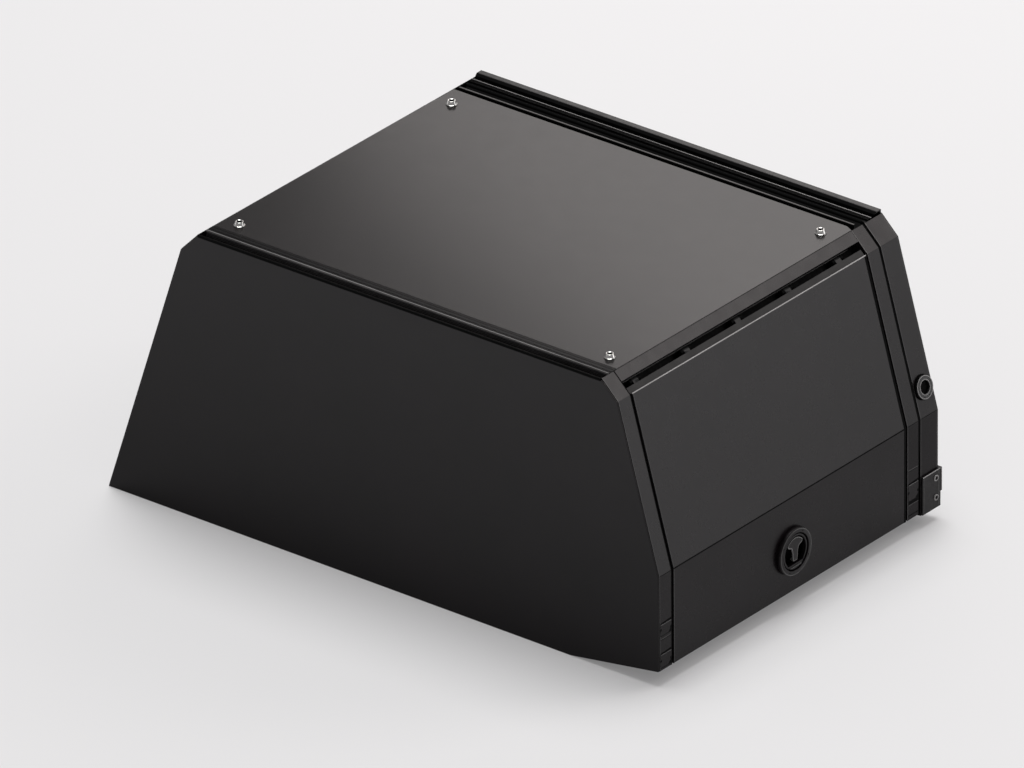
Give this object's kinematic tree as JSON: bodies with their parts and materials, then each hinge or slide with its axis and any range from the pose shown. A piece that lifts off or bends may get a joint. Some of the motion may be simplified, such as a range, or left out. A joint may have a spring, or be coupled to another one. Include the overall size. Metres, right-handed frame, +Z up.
{
  "type": "pickup truck canopy",
  "caption": "Sheet-metal pickup canopy with a lift-up creased side door and round folding latch, a deep lift-up rear hatch on a rolled hinge and a flat bolted roof.",
  "frame": {"origin": "middle of the overall box's base, level with the front wall's lower edge, which is the floor", "axes": "+Z up, +Y from the front wall to the rear hatch, +X towards the side with the creased door and latch"},
  "size_m": [1.652, 1.07, 0.7608],
  "materials": {
    "panel": "satin black powder coat",
    "frame": "satin black powder coat on inner rails",
    "hardware": "satin dark grey hardware",
    "steel": "polished",
    "rubber": "matt"
  },
  "bodies": {
    "canopy_body": {"front_cap_rail": "panel", "front_header": "frame", "front_sill": "frame", "front_wall": "panel", "left_door_leaf": "hardware", "left_door_panel": "panel", "left_door_seal": "rubber", "left_door_stop": "frame", "left_front_pillar": "panel", "left_header_rail": "panel", "left_hinge_ears": "hardware", "left_latch_dish": "hardware", "left_latch_handle": "hardware", "left_rear_pillar": "panel", "left_sill": "frame", "rear_header": "frame", "rear_roof_rail": "panel", "rear_sill": "frame", "right_door_seal": "rubber", "right_door_stop": "frame", "right_front_keeper_1": "hardware", "right_front_keeper_2": "hardware", "right_front_pillar": "panel", "right_header_rail": "panel", "right_hinge_ears": "hardware", "right_rear_keeper_1": "hardware", "right_rear_pillar": "panel", "right_sill": "frame", "roof_bolt_1": "steel", "roof_bolt_2": "steel", "roof_bolt_3": "steel", "roof_bolt_4": "steel", "roof_panel": "panel"},
    "side_door": {"right_door_panel": "panel", "right_door_leaf": "hardware", "right_latch_dish": "hardware"},
    "door_handle": {"right_latch_handle": "hardware"},
    "rear_hatch": {"hatch_bottom_return": "panel", "hatch_hinge_rail": "panel", "hatch_panel": "panel", "hatch_top_return": "frame", "left_corner_bracket": "hardware", "left_hatch_return": "panel", "left_lock_ring": "hardware", "right_corner_bracket": "hardware", "right_hatch_return": "panel", "right_lock_ring": "hardware"}
  },
  "joints": [
    {"name": "side_door_hinge", "type": "hinge", "parent": "canopy_body", "child": "side_door", "pos_m": [0.6706, -0.00625, 0.71246], "axis": [0, -1, 0], "range_deg": [0, 90]},
    {"name": "door_handle_fold", "type": "hinge", "parent": "side_door", "child": "door_handle", "pos_m": [0.816, -0.033, 0.1265], "axis": [0, 1, 0], "range_deg": [0, 60]},
    {"name": "rear_hatch_hinge", "type": "hinge", "parent": "canopy_body", "child": "rear_hatch", "pos_m": [0, 0.465, 0.743], "axis": [1, 0, 0], "range_deg": [0, 85]}
  ]
}
